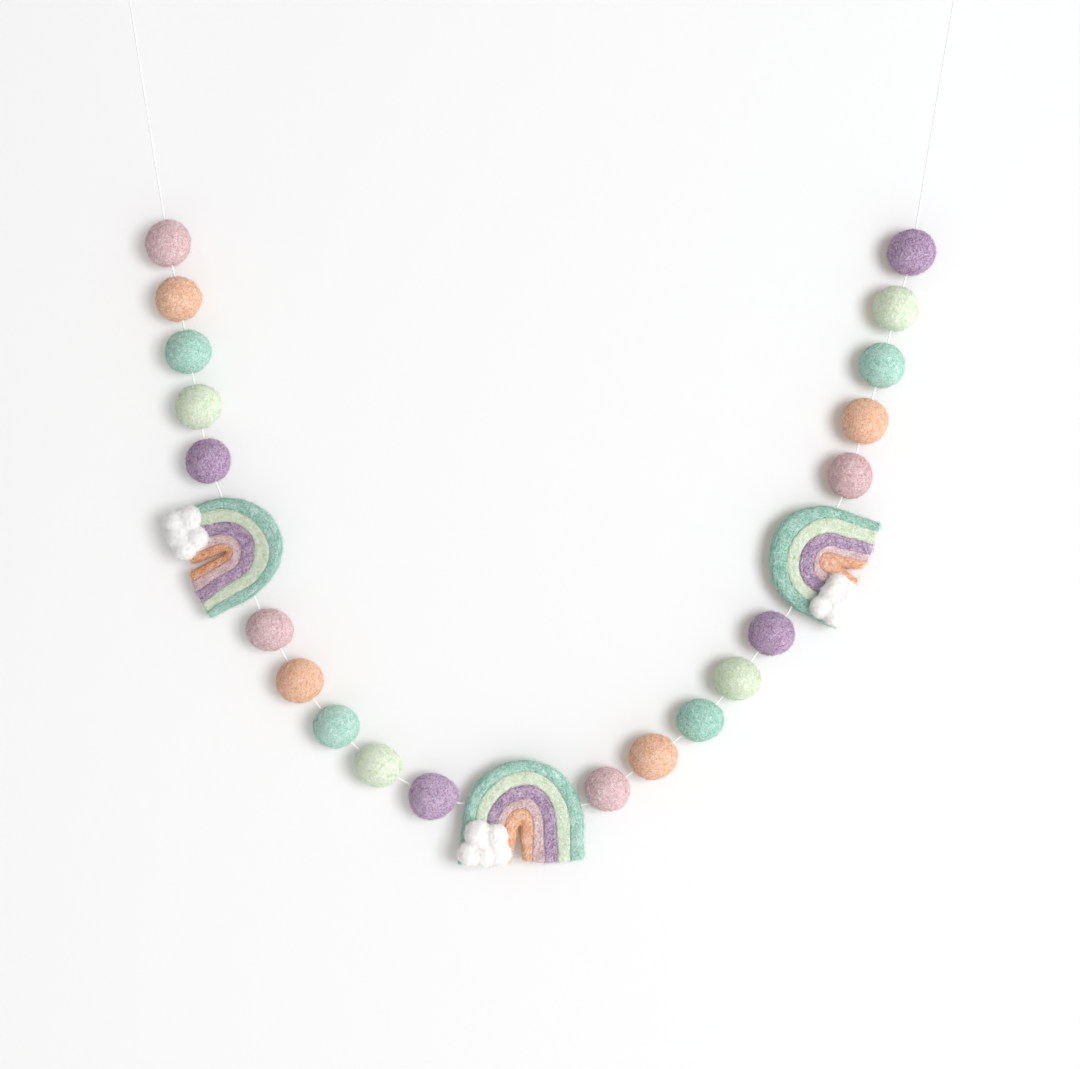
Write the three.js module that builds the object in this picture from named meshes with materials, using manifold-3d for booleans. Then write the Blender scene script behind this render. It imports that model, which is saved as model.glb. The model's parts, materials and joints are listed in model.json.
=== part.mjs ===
// Felt ball garland: balls and rainbows of felted wool, threaded on one string that hangs from two loops.
// Millimetres. +Z is up, +X runs to the right along the wall and +Y points into the wall.
// The origin is the top of the left loop, where a nail or hook would hold it.
import * as THREE from "three";
import { mergeVertices } from "three/addons/utils/BufferGeometryUtils.js";
import Module from "manifold-3d";

const wasm = await Module();
wasm.setup();

// Driving dimensions
const CLEARANCE = 0.3; // between pieces that touch
const STRING_DIAMETER = 1;
const KNOT_DIAMETER = 3;
const LOOP_LENGTH = 18;
const LOOP_WIDTH = 9;
const HANGING_SPAN = 438; // between the tops of the two loops
const BALL_DEPTH = 25; // front to back
const BALL_LUMPS = 0.012; // height of the lumps as a share of the radius
const BROAD_LUMPS = 3; // radians of the broad lumps' wave to a radius
const FINE_LUMPS = 5; // radians of the fine lumps' wave to a radius
const LUMP_SHIFT = 2.4; // radians between the waves of one ball and of the next
const BAND_THICKNESS = 10.5; // front to back
const ROUND_SIDE = 2.8; // exponent of a band's section on a free side, 2 being an ellipse
const PRESSED_SIDE = 12; // the same on a side that is pressed against the next band
const FOOT_ROUNDING = 1.2; // height of the rounded rim
const FOOT_SHARE = 0.75; // the foot's flat end as a share of the full section
const CLOUD_DEPTH = 8; // how far a cloud stands out from the bands
const LOBE_DEPTH = 12.8; // front to back of a whole lobe, before its back is cut flat

// How finely the round shapes are cut
const BALL_SIDES = 14;
const BALL_RINGS = 10;
const BAND_SIDES = 8;
const BAND_ARC_STEPS = 5; // from a springing point to the crown
const LOBE_SIDES = 10;
const LOBE_RINGS = 7;
const STRING_SIDES = 8;
const STRING_STEPS = 72;
const LOOP_STEPS = 14;

const COLOURS = {
  pink: "#dcbcc0",
  peach: "#ecbd98",
  teal: "#a5d3c0",
  green: "#d9e4cb",
  purple: "#b193b8",
  orange: "#e6a878",
  white: "#f4f2ee",
};

// The balls in their order on the string. wide and tall are measured along axes turned by tilt degrees,
// and egg is how much the ball narrows towards its wide axis's positive end.
const BALLS = [
  { colour: "pink", x: 24.6, z: -154.1, wide: 25.3, tall: 24, tilt: 70, egg: 0 },
  { colour: "peach", x: 30, z: -183, wide: 24.6, tall: 24, tilt: 15, egg: 0.04 },
  { colour: "teal", x: 35, z: -210.5, wide: 24.8, tall: 23.5, tilt: 5, egg: 0 },
  { colour: "green", x: 40.3, z: -239, wide: 25.4, tall: 24, tilt: 25, egg: 0 },
  { colour: "purple", x: 45.4, z: -267.3, wide: 24.2, tall: 23.6, tilt: 60, egg: 0 },
  { colour: "pink", x: 77.4, z: -355, wide: 25.5, tall: 22.6, tilt: -4, egg: 0 },
  { colour: "peach", x: 93, z: -381.5, wide: 25.3, tall: 24, tilt: 0, egg: 0 },
  { colour: "teal", x: 111.9, z: -405.3, wide: 24.9, tall: 23.4, tilt: 0, egg: 0 },
  { colour: "green", x: 133.7, z: -425.5, wide: 26.2, tall: 23.2, tilt: -15, egg: 0 },
  { colour: "purple", x: 162.7, z: -441.5, wide: 26.7, tall: 24.4, tilt: 10, egg: 0.14 },
  { colour: "pink", x: 253, z: -438, wide: 24.5, tall: 23.5, tilt: -20, egg: 0.03 },
  { colour: "peach", x: 276.8, z: -421, wide: 26.2, tall: 24.6, tilt: 12, egg: 0 },
  { colour: "teal", x: 301.2, z: -402, wide: 25.5, tall: 22.8, tilt: 4, egg: 0 },
  { colour: "green", x: 320.5, z: -380.4, wide: 25.5, tall: 23, tilt: -8, egg: 0 },
  { colour: "purple", x: 338.2, z: -357, wide: 24.8, tall: 23.6, tilt: 0, egg: 0 },
  { colour: "pink", x: 379.1, z: -274.9, wide: 23.8, tall: 24.7, tilt: 10, egg: 0 },
  { colour: "peach", x: 386.9, z: -246.5, wide: 25, tall: 24.7, tilt: 0, egg: 0.02 },
  { colour: "teal", x: 395.8, z: -217.5, wide: 24.4, tall: 24.3, tilt: 0, egg: 0 },
  { colour: "green", x: 403.1, z: -188, wide: 24.3, tall: 24.4, tilt: 15, egg: 0 },
  { colour: "purple", x: 411.1, z: -158.8, wide: 26.1, tall: 24.6, tilt: 20, egg: 0 },
];

// The bands of a rainbow, from the outside in.
const BANDS = ["teal", "green", "purple", "pink", "orange"];

// An edge is the line between two bands: a straight leg on each side, and a quarter of an ellipse from each
// leg's springing point to the crown. Each point is an x and a z in the rainbow's own upright frame.
function edge(leftFoot, leftSpring, crown, rightSpring, rightFoot) {
  return { leftFoot, leftSpring, crown, rightSpring, rightFoot };
}

// Each rainbow stands upright in its own frame and is then turned by turn degrees about its place at x, z.
// Its first edge is the outside and its last is the slit between the inner legs.
// A cloud is a row of round lobes.
const RAINBOWS = [
  {
    name: "rainbow_left",
    x: 54,
    z: -316.5,
    turn: -71,
    edges: [
      edge([-30.5, -17], [-30.3, 0], [-2, 31.8], [27, -7], [29, -17]),
      edge([-26, -17], [-24.5, 0], [1, 23.6], [20.2, 0], [24.5, -18]),
      edge([-20, -17], [-17.5, 0], [-3, 16.8], [14, 0], [19.2, -18.5]),
      edge([-13.5, -17], [-11.5, 0], [-1.5, 9.3], [8, 0], [13, -20]),
      edge([-6.5, -17], [-6.5, 0], [-1.8, 4.8], [3.2, 0], [7.3, -20]),
      edge([-1.5, -17], [-2, -2], [-1.3, 0.8], [-0.5, -2], [2, -19]),
    ],
    cloud: [
      { x: -24, z: -10.5, radius: 6 },
      { x: -13, z: -10, radius: 5.5 },
      { x: -9.8, z: -17.5, radius: 5.3 },
      { x: -17, z: -18.5, radius: 6 },
      { x: -25, z: -18, radius: 5.2 },
    ],
  },
  {
    name: "rainbow_centre",
    x: 208.5,
    z: -462,
    turn: 0,
    edges: [
      edge([-34, -14.5], [-31.8, 5], [1, 39.8], [32.6, 7.5], [33, -12]),
      edge([-28.5, -14.5], [-24.5, 5], [2, 33.6], [25, 5], [25.3, -13]),
      edge([-22, -14], [-18.2, 5], [3, 26.5], [17.6, 5], [18.8, -13.5]),
      edge([-15.5, -14], [-13, 5], [2.5, 19.5], [11.2, 5], [12, -13.5]),
      edge([-10.5, -14], [-8.9, 5], [0.3, 14.6], [5.9, 5], [5.6, -13]),
      edge([-6, -14], [-2.5, 1], [-1, 4.5], [-1, 1], [0.3, -12.5]),
    ],
    cloud: [
      { x: -22.7, z: 1.5, radius: 6.8 },
      { x: -13.5, z: 0.3, radius: 6 },
      { x: -11.7, z: -8.5, radius: 5.8 },
      { x: -19, z: -9, radius: 6 },
      { x: -27, z: -9, radius: 6 },
    ],
  },
  {
    name: "rainbow_right",
    x: 366.5,
    z: -320.5,
    turn: 65.5,
    edges: [
      edge([-29.5, -18.5], [-29, 0], [3.5, 31.3], [29.5, 0], [31, -17]),
      edge([-24.5, -18.5], [-21.3, 0], [2, 21], [24, 0], [26, -17.5]),
      edge([-17.5, -18.5], [-15.3, 0], [0.5, 14.3], [16, 0], [19, -18]),
      edge([-10.5, -18.5], [-9, -1], [0.8, 6.6], [9.5, 0], [13.4, -18.8]),
      edge([-5, -18.5], [-4.6, -2], [1.4, 4.5], [6, 0], [9.4, -18.8]),
      edge([-1, -18.5], [0.6, -11.5], [1.2, -9], [2.3, -11.5], [5.6, -18]),
    ],
    cloud: [
      { x: -21.8, z: -6.3, radius: 5.4 },
      { x: -14, z: -8.5, radius: 5.5 },
      { x: -8.2, z: -9.8, radius: 5.7 },
      { x: -8.8, z: -15.2, radius: 5 },
      { x: -22.3, z: -14.5, radius: 5.8 },
      { x: -15, z: -14.8, radius: 5.4 },
    ],
  },
];

// The string's centre line in x and z, from the left knot to the right one: through the middle of each ball,
// and in at one side of a rainbow, over its innermost band and out at the other side.
const STRING_ROUTE = [
  [3, -17.5],
  [13.5, -85],
  [24.6, -154.1],
  [30, -183],
  [35, -210.5],
  [40.3, -239],
  [45.4, -267.3],
  [52.5, -286.5],
  [61, -314.5],
  [70.5, -340.5],
  [77.4, -355],
  [93, -381.5],
  [111.9, -405.3],
  [133.7, -425.5],
  [162.7, -441.5],
  [180, -445.5],
  [210, -445.5],
  [240, -446],
  [253, -438],
  [276.8, -421],
  [301.2, -402],
  [320.5, -380.4],
  [338.2, -357],
  [349, -342.5],
  [359, -317],
  [373, -290],
  [379.1, -274.9],
  [386.9, -246.5],
  [395.8, -217.5],
  [403.1, -188],
  [411.1, -158.8],
  [423.5, -85],
  [435, -17.5],
];

const garland = new THREE.Group();

// Felt is matt all over, and so is the cotton string.
function matt(colour) {
  return new THREE.MeshStandardMaterial({ color: colour, roughness: 1, metalness: 0 });
}

// A closed geometry as a solid that can be joined and cut.
function solidOf(geometry) {
  const bare = geometry.clone();
  bare.deleteAttribute("normal");
  bare.deleteAttribute("uv");
  const merged = mergeVertices(bare);
  const vertProperties = merged.attributes.position.array;
  const triVerts = new Uint32Array(merged.index.array);
  return new wasm.Manifold(new wasm.Mesh({ numProp: 3, vertProperties, triVerts }));
}

// A solid's surface as a geometry.
function geometryOf(solid) {
  const mesh = solid.getMesh();
  const geometry = new THREE.BufferGeometry();
  geometry.setAttribute("position", new THREE.BufferAttribute(mesh.vertProperties, 3));
  geometry.setIndex(new THREE.BufferAttribute(mesh.triVerts, 1));
  geometry.computeVertexNormals();
  return geometry;
}

// Moves every vertex of a geometry by a function of its place.
function reshape(geometry, move) {
  const places = geometry.attributes.position;
  const place = new THREE.Vector3();
  for (let i = 0; i < places.count; i++) {
    move(place.fromBufferAttribute(places, i));
    places.setXYZ(i, place.x, place.y, place.z);
  }
  return geometry;
}

// A round tube with closed ends along a curve.
function tube(curve, diameter, steps) {
  const section = new THREE.Shape();
  for (let i = 0; i < STRING_SIDES; i++) {
    const angle = (2 * Math.PI * i) / STRING_SIDES;
    const across = (Math.cos(angle) * diameter) / 2;
    const up = (Math.sin(angle) * diameter) / 2;
    if (i === 0) section.moveTo(across, up);
    else section.lineTo(across, up);
  }
  section.closePath();
  return new THREE.ExtrudeGeometry(section, { steps, bevelEnabled: false, extrudePath: curve });
}

// The string's route as a smooth curve in the plane of the garland.
const stringCurve = new THREE.CatmullRomCurve3(STRING_ROUTE.map(([x, z]) => new THREE.Vector3(x, 0, z)));

// The needle hole that the string needs through everything it passes.
const needleHole = solidOf(tube(stringCurve, STRING_DIAMETER + 2 * CLEARANCE, STRING_STEPS));

// A slightly lumpy ball, each with its own lumps.
function ballGeometry(ball, number) {
  const geometry = new THREE.SphereGeometry(1, BALL_SIDES, BALL_RINGS);
  const size = new THREE.Vector3(ball.wide / 2, BALL_DEPTH / 2, ball.tall / 2);
  const shift = LUMP_SHIFT * number;
  reshape(geometry, (place) => {
    const broad = Math.sin(BROAD_LUMPS * place.x + shift) * Math.cos(BROAD_LUMPS * place.z - shift);
    const fine = Math.sin(FINE_LUMPS * place.z + shift) * Math.cos(FINE_LUMPS * place.y - shift);
    const narrowing = 1 - ball.egg * place.x;
    place.multiplyScalar(1 + BALL_LUMPS * (broad + fine));
    place.y *= narrowing;
    place.z *= narrowing;
    place.multiply(size);
  });
  return geometry.rotateY(-THREE.MathUtils.degToRad(ball.tilt)).translate(ball.x, 0, ball.z);
}

BALLS.forEach((ball, index) => {
  const number = index + 1;
  const solid = solidOf(ballGeometry(ball, number)).subtract(needleHole);
  const mesh = new THREE.Mesh(geometryOf(solid), matt(COLOURS[ball.colour]));
  mesh.name = `ball_${String(number).padStart(2, "0")}_${ball.colour}`;
  garland.add(mesh);
});

// Places along an edge, counted from the crown: positive on the right, negative on the left.
const SPRING = 1;
const MID_LEG = 1.5;
const FOOT = 2;

// The point of an edge at a place along it.
function edgePoint(line, along) {
  const foot = new THREE.Vector2(...(along < 0 ? line.leftFoot : line.rightFoot));
  const spring = new THREE.Vector2(...(along < 0 ? line.leftSpring : line.rightSpring));
  const crown = new THREE.Vector2(...line.crown);
  const way = Math.abs(along);
  if (way > SPRING) return spring.lerp(foot, way - SPRING);
  const angle = (way * Math.PI) / 2;
  const x = crown.x + (spring.x - crown.x) * Math.sin(angle);
  const z = spring.y + (crown.y - spring.y) * Math.cos(angle);
  return new THREE.Vector2(x, z);
}

// The places along a band where it has a section, with the section's share of the full width and thickness.
// The feet end in a smaller section, which rounds their rims.
function bandStations(legLength) {
  const rightLeg = [
    { along: MID_LEG, share: 1 },
    { along: FOOT - FOOT_ROUNDING / legLength, share: 1 },
    { along: FOOT, share: FOOT_SHARE },
  ];
  const leftLeg = rightLeg.map(({ along, share }) => ({ along: -along, share })).reverse();
  const arch = [];
  for (let step = -BAND_ARC_STEPS; step <= BAND_ARC_STEPS; step++) {
    arch.push({ along: (SPRING * step) / BAND_ARC_STEPS, share: 1 });
  }
  return [...leftLeg, ...arch, ...rightLeg];
}

// How far a point of a round section moves out to lie on a squarer one. The middle of a foot stays.
function squaring(x, z, squareness) {
  const size = (Math.abs(x) ** squareness + Math.abs(z) ** squareness) ** (1 / squareness);
  return size > 0 ? 1 / size : 0;
}

// A band between two edges of a rainbow: a bar bent along the arch. The squareness of its section's outer and
// inner halves is given as exponents.
function bandGeometry(outer, inner, outerSquareness, innerSquareness) {
  const legLength = outer.rightSpring[1] - outer.rightFoot[1];
  const stations = bandStations(legLength);
  const steps = stations.length - 1;
  const bar = new THREE.CylinderGeometry(1, 1, steps, BAND_SIDES, steps);
  return reshape(bar, (place) => {
    const station = stations[Math.round(place.y + steps / 2)];
    const squareness = place.x > 0 ? outerSquareness : innerSquareness;
    const share = station.share * squaring(place.x, place.z, squareness);
    const outside = edgePoint(outer, station.along);
    const inside = edgePoint(inner, station.along);
    const middle = outside.clone().add(inside).multiplyScalar(0.5);
    const across = outside.clone().sub(inside);
    const halfWidth = (across.length() - CLEARANCE) / 2;
    across.normalize().multiplyScalar(share * halfWidth * place.x);
    const depth = (share * BAND_THICKNESS * place.z) / 2;
    place.set(middle.x + across.x, depth, middle.y + across.y);
  });
}

// A cloud of round lobes, flat at the back where it lies on the bands.
function cloudSolid(lobes) {
  const back = -BAND_THICKNESS / 2 - CLEARANCE;
  const middle = back - CLOUD_DEPTH + LOBE_DEPTH / 2;
  const solids = lobes.map((lobe) => {
    const round = new THREE.SphereGeometry(1, LOBE_SIDES, LOBE_RINGS);
    round.scale(lobe.radius, LOBE_DEPTH / 2, lobe.radius);
    return solidOf(round.translate(lobe.x, middle, lobe.z));
  });
  const whole = solids.reduce((joined, next) => joined.add(next));
  return whole.trimByPlane([0, -1, 0], -back);
}

// Adds a piece of a rainbow, turned to its place and pierced by the string where that passes.
function addRainbowPiece(rainbow, name, colour, geometry) {
  geometry.rotateY(-THREE.MathUtils.degToRad(rainbow.turn)).translate(rainbow.x, 0, rainbow.z);
  const solid = solidOf(geometry).subtract(needleHole);
  const mesh = new THREE.Mesh(geometryOf(solid), matt(COLOURS[colour]));
  mesh.name = `${rainbow.name}_${name}`;
  garland.add(mesh);
}

for (const rainbow of RAINBOWS) {
  BANDS.forEach((colour, index) => {
    const outerSquareness = index === 0 ? ROUND_SIDE : PRESSED_SIDE;
    const innerSquareness = index === BANDS.length - 1 ? ROUND_SIDE : PRESSED_SIDE;
    const [outer, inner] = rainbow.edges.slice(index, index + 2);
    addRainbowPiece(rainbow, colour, colour, bandGeometry(outer, inner, outerSquareness, innerSquareness));
  });
  addRainbowPiece(rainbow, "cloud", "white", geometryOf(cloudSolid(rainbow.cloud)));
}

// The loop above a knot, leaning as the string does.
function loopSolid(knot, top) {
  const up = top.clone().sub(knot).normalize();
  const side = new THREE.Vector3(up.z, 0, -up.x);
  const bend = ([across, along]) =>
    knot.clone().addScaledVector(side, across * LOOP_WIDTH).addScaledVector(up, along * LOOP_LENGTH);
  // Each bend's place across and along the loop, as shares of its width and length.
  const shape = [
    [0, 0],
    [-0.3, 0.25],
    [-0.5, 0.6],
    [-0.35, 0.9],
    [0, 1],
    [0.35, 0.9],
    [0.5, 0.6],
    [0.3, 0.25],
    [0, 0],
  ];
  const curve = new THREE.CatmullRomCurve3(shape.map(bend));
  const knotBall = new THREE.SphereGeometry(KNOT_DIAMETER / 2, STRING_SIDES, STRING_SIDES / 2);
  const knotSolid = solidOf(knotBall.translate(knot.x, knot.y, knot.z));
  return solidOf(tube(curve, STRING_DIAMETER, LOOP_STEPS)).add(knotSolid);
}

const leftKnot = stringCurve.points[0];
const rightKnot = stringCurve.points.at(-1);
const loopTop = STRING_DIAMETER / 2; // the loop's centre line passes just over the nail
const stringSolid = solidOf(tube(stringCurve, STRING_DIAMETER, STRING_STEPS))
  .add(loopSolid(leftKnot, new THREE.Vector3(0, 0, loopTop)))
  .add(loopSolid(rightKnot, new THREE.Vector3(HANGING_SPAN, 0, loopTop)));
const string = new THREE.Mesh(geometryOf(stringSolid), matt(COLOURS.white));
string.name = "string";
garland.add(string);

export default garland;
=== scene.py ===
"""Felt ball garland: wool balls and rainbows on a cotton string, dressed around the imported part.

The file is laid out as an add-on, with one operator for each group of pieces, and is run as a script.
Metres, in the part's own frame: +Z is up, +X runs to the right along the wall, +Y points into the wall.
"""

import json
import math
from typing import NamedTuple

import bmesh
import bpy
import numpy as np
from mathutils import Color, Matrix, Vector, noise
from mathutils.bvhtree import BVHTree

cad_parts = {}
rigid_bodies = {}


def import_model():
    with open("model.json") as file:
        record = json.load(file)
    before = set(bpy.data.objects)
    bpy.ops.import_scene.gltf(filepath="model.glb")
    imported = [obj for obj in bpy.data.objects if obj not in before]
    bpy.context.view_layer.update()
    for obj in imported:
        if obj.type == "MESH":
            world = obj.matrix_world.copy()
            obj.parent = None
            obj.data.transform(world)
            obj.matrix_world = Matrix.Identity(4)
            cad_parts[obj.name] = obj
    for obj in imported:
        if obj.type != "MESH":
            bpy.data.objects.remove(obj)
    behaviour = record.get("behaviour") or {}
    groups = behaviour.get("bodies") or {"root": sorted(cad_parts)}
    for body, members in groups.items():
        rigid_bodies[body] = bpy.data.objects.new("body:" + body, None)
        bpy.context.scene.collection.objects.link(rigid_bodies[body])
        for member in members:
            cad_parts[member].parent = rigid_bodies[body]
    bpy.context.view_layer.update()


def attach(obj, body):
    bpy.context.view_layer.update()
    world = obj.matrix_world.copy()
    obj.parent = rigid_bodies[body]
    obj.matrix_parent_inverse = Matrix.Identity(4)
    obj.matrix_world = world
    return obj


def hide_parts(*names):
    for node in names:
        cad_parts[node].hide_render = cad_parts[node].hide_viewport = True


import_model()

bl_info = {
    "name": "Felt ball garland",
    "version": (1, 0, 0),
    "blender": (4, 5, 0),
    "location": "View3D > Sidebar > Garland",
    "description": "Builds a hanging garland of felted wool balls and rainbows",
    "category": "Add Mesh",
}

BODY = "root"

# The photograph's frame, which the camera has to fill.
PHOTO_WIDTH_PX = 1080
METRES_PER_PX = 0.00052
VIEW_MIDDLE = Vector((0.2179, 0, -0.3055))
CAMERA_DISTANCE = 1.4
SENSOR_WIDTH_MM = 36

# In the photograph this rainbow gets less of the window's light than the other pieces.
SHADED_RAINBOW = "rainbow_left"

# Powers that the colours of some pieces are raised to: the higher, the deeper. Most give the wool's own
# tone. The left rainbow's cloud is made paler as painted light, to make up for the lesser light that it
# gets. The right rainbow's cloud is made darker as painted shade. The left rainbow's orange is deeper,
# partly its own tone and partly painted shade for its slit. The other pieces take the shade of the bands
# or of the firm pieces.
TONES_AND_PAINTED_LIGHT = {
    "ball_03_teal": 0.94,
    "ball_08_teal": 0.83,
    "ball_09_green": 0.93,
    "ball_10_purple": 0.9,
    "ball_14_green": 1.28,
    "ball_16_pink": 1.24,
    "ball_18_teal": 0.94,
    "rainbow_left_orange": 1.15,
    "rainbow_left_cloud": 0.5,
    "rainbow_right_teal": 1,
    "rainbow_right_pink": 0.72,
    "rainbow_right_cloud": 1.5,
}

# The bands are felted more loosely than the firm pieces, the balls and clouds: their colours look paler.
BAND_SHADE = 0.86
FIRM_SHADE = 1.07

# How far the fibres stand off a firm piece, as a share of how far they stand off a band.
FIRM_SHARE = 0.65

# How finely the pieces are cut.
BALL_SUBDIVISIONS = 5
BAND_SIDES = 32
ARCH_STEPS = 32
LEG_STEPS = 14
LOBE_SUBDIVISIONS = 4
CLOUD_VOXEL = 0.0006
SOFTENING_ROUNDS = 14
CREASE_ROUNDS = 40
STRING_SIDES = 8
STRING_STEP = 0.0008
KNOT_STEPS = 48
SMOOTHING = 0.5

# The felt's broad and fine bumps: how far across they are, and how high on each kind of piece.
BUMP_SPANS = (0.006, 0.0022)
BALL_BUMPS = (0.00014, 0.00008)
BAND_BUMPS = (0.0003, 0.0002)
CLOUD_BUMPS = (0.0004, 0.0002)

# A ball's random numbers start from its own number, and those of the bands and clouds from these on.
BAND_SEEDS = 100
CLOUD_SEEDS = 500

# The shortest and longest fibre, as shares of the usual length.
LENGTH_SPREAD = (0.5, 1.5)
CM2_PER_M2 = 1e4


class Ball(NamedTuple):
    """A ball's middle, its width and height on axes turned by tilt degrees, and how much it narrows."""

    colour: str
    x: float
    z: float
    wide: float
    tall: float
    tilt: float
    egg: float


BALLS = (
    Ball("pink", 0.0246, -0.1541, 0.0253, 0.024, 70, 0),
    Ball("peach", 0.03, -0.183, 0.0246, 0.024, 15, 0.04),
    Ball("teal", 0.035, -0.2105, 0.0248, 0.0235, 5, 0),
    Ball("green", 0.0403, -0.239, 0.0254, 0.024, 25, 0),
    Ball("purple", 0.0454, -0.2673, 0.0242, 0.0236, 60, 0),
    Ball("pink", 0.0774, -0.355, 0.0255, 0.0226, -4, 0),
    Ball("peach", 0.093, -0.3815, 0.0253, 0.024, 0, 0),
    Ball("teal", 0.1119, -0.4053, 0.0249, 0.0234, 0, 0),
    Ball("green", 0.1337, -0.4255, 0.0262, 0.0232, -15, 0),
    Ball("purple", 0.1627, -0.4415, 0.0267, 0.0244, 10, 0.14),
    Ball("pink", 0.253, -0.438, 0.0245, 0.0235, -20, 0.03),
    Ball("peach", 0.2768, -0.421, 0.0262, 0.0246, 12, 0),
    Ball("teal", 0.3012, -0.402, 0.0255, 0.0228, 4, 0),
    Ball("green", 0.3205, -0.3804, 0.0255, 0.023, -8, 0),
    Ball("purple", 0.3382, -0.357, 0.0248, 0.0236, 0, 0),
    Ball("pink", 0.3791, -0.2749, 0.0238, 0.0247, 10, 0),
    Ball("peach", 0.3869, -0.2465, 0.025, 0.0247, 0, 0.02),
    Ball("teal", 0.3958, -0.2175, 0.0244, 0.0243, 0, 0),
    Ball("green", 0.4031, -0.188, 0.0243, 0.0244, 15, 0),
    Ball("purple", 0.4111, -0.1588, 0.0261, 0.0246, 20, 0),
)


class Edge(NamedTuple):
    """The line between two bands: straight legs, and a quarter ellipse from each spring to the crown."""

    left_foot: tuple
    left_spring: tuple
    crown: tuple
    right_spring: tuple
    right_foot: tuple


class Lobe(NamedTuple):
    """A round lobe of a cloud."""

    x: float
    z: float
    radius: float


class Rainbow(NamedTuple):
    """A rainbow in its own upright frame, with the place and turn in degrees that hang it up."""

    name: str
    x: float
    z: float
    turn: float
    edges: tuple
    cloud: tuple


# The bands of a rainbow from the outside in. Its first edge is the outside and its last the inner slit.
BANDS = ("teal", "green", "purple", "pink", "orange")
RAINBOWS = (
    Rainbow(
        "rainbow_left",
        0.054,
        -0.3165,
        -71,
        (
            Edge((-0.0305, -0.017), (-0.0303, 0), (-0.002, 0.0318), (0.027, -0.007), (0.029, -0.017)),
            Edge((-0.026, -0.017), (-0.0245, 0), (0.001, 0.0236), (0.0202, 0), (0.0245, -0.018)),
            Edge((-0.02, -0.017), (-0.0175, 0), (-0.003, 0.0168), (0.014, 0), (0.0192, -0.0185)),
            Edge((-0.0135, -0.017), (-0.0115, 0), (-0.0015, 0.0093), (0.008, 0), (0.013, -0.02)),
            Edge((-0.0065, -0.017), (-0.0065, 0), (-0.0018, 0.0048), (0.0032, 0), (0.0073, -0.02)),
            Edge(
                (-0.0015, -0.017), (-0.002, -0.002), (-0.0013, 0.0008), (-0.0005, -0.002), (0.002, -0.019)
            ),
        ),
        (
            Lobe(-0.024, -0.0105, 0.006),
            Lobe(-0.013, -0.01, 0.0055),
            Lobe(-0.0098, -0.0175, 0.0053),
            Lobe(-0.017, -0.0185, 0.006),
            Lobe(-0.025, -0.018, 0.0052),
        ),
    ),
    Rainbow(
        "rainbow_centre",
        0.2085,
        -0.462,
        0,
        (
            Edge((-0.034, -0.0145), (-0.0318, 0.005), (0.001, 0.0398), (0.0326, 0.0075), (0.033, -0.012)),
            Edge((-0.0285, -0.0145), (-0.0245, 0.005), (0.002, 0.0336), (0.025, 0.005), (0.0253, -0.013)),
            Edge((-0.022, -0.014), (-0.0182, 0.005), (0.003, 0.0265), (0.0176, 0.005), (0.0188, -0.0135)),
            Edge((-0.0155, -0.014), (-0.013, 0.005), (0.0025, 0.0195), (0.0112, 0.005), (0.012, -0.0135)),
            Edge((-0.0105, -0.014), (-0.0089, 0.005), (0.0003, 0.0146), (0.0059, 0.005), (0.0056, -0.013)),
            Edge((-0.006, -0.014), (-0.0025, 0.001), (-0.001, 0.0045), (-0.001, 0.001), (0.0003, -0.0125)),
        ),
        (
            Lobe(-0.0227, 0.0015, 0.0068),
            Lobe(-0.0135, 0.0003, 0.006),
            Lobe(-0.0117, -0.0085, 0.0058),
            Lobe(-0.019, -0.009, 0.006),
            Lobe(-0.027, -0.009, 0.006),
        ),
    ),
    Rainbow(
        "rainbow_right",
        0.3665,
        -0.3205,
        65.5,
        (
            Edge((-0.0295, -0.0185), (-0.029, 0), (0.0035, 0.0313), (0.0295, 0), (0.031, -0.017)),
            Edge((-0.0245, -0.0185), (-0.0213, 0), (0.002, 0.021), (0.024, 0), (0.026, -0.0175)),
            Edge((-0.0175, -0.0185), (-0.0153, 0), (0.0005, 0.0143), (0.016, 0), (0.019, -0.018)),
            Edge((-0.0105, -0.0185), (-0.009, -0.001), (0.0008, 0.0066), (0.0095, 0), (0.0134, -0.0188)),
            Edge((-0.005, -0.0185), (-0.0046, -0.002), (0.0014, 0.0045), (0.006, 0), (0.0094, -0.0188)),
            Edge(
                (-0.001, -0.0185), (0.0006, -0.0115), (0.0012, -0.009), (0.0023, -0.0115), (0.0056, -0.018)
            ),
        ),
        (
            Lobe(-0.0218, -0.0063, 0.0054),
            Lobe(-0.014, -0.0085, 0.0055),
            Lobe(-0.0082, -0.0098, 0.0057),
            Lobe(-0.0088, -0.0152, 0.005),
            Lobe(-0.0223, -0.0145, 0.0058),
            Lobe(-0.015, -0.0148, 0.0054),
        ),
    ),
)

# The string's centre line in x and z, from the left knot to the right one.
STRING_ROUTE = (
    (0.003, -0.0175),
    (0.0135, -0.085),
    (0.0246, -0.1541),
    (0.03, -0.183),
    (0.035, -0.2105),
    (0.0403, -0.239),
    (0.0454, -0.2673),
    (0.0525, -0.2865),
    (0.061, -0.3145),
    (0.0705, -0.3405),
    (0.0774, -0.355),
    (0.093, -0.3815),
    (0.1119, -0.4053),
    (0.1337, -0.4255),
    (0.1627, -0.4415),
    (0.18, -0.4455),
    (0.21, -0.4455),
    (0.24, -0.446),
    (0.253, -0.438),
    (0.2768, -0.421),
    (0.3012, -0.402),
    (0.3205, -0.3804),
    (0.3382, -0.357),
    (0.349, -0.3425),
    (0.359, -0.317),
    (0.373, -0.29),
    (0.3791, -0.2749),
    (0.3869, -0.2465),
    (0.3958, -0.2175),
    (0.4031, -0.188),
    (0.4111, -0.1588),
    (0.4235, -0.085),
    (0.435, -0.0175),
)

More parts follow.
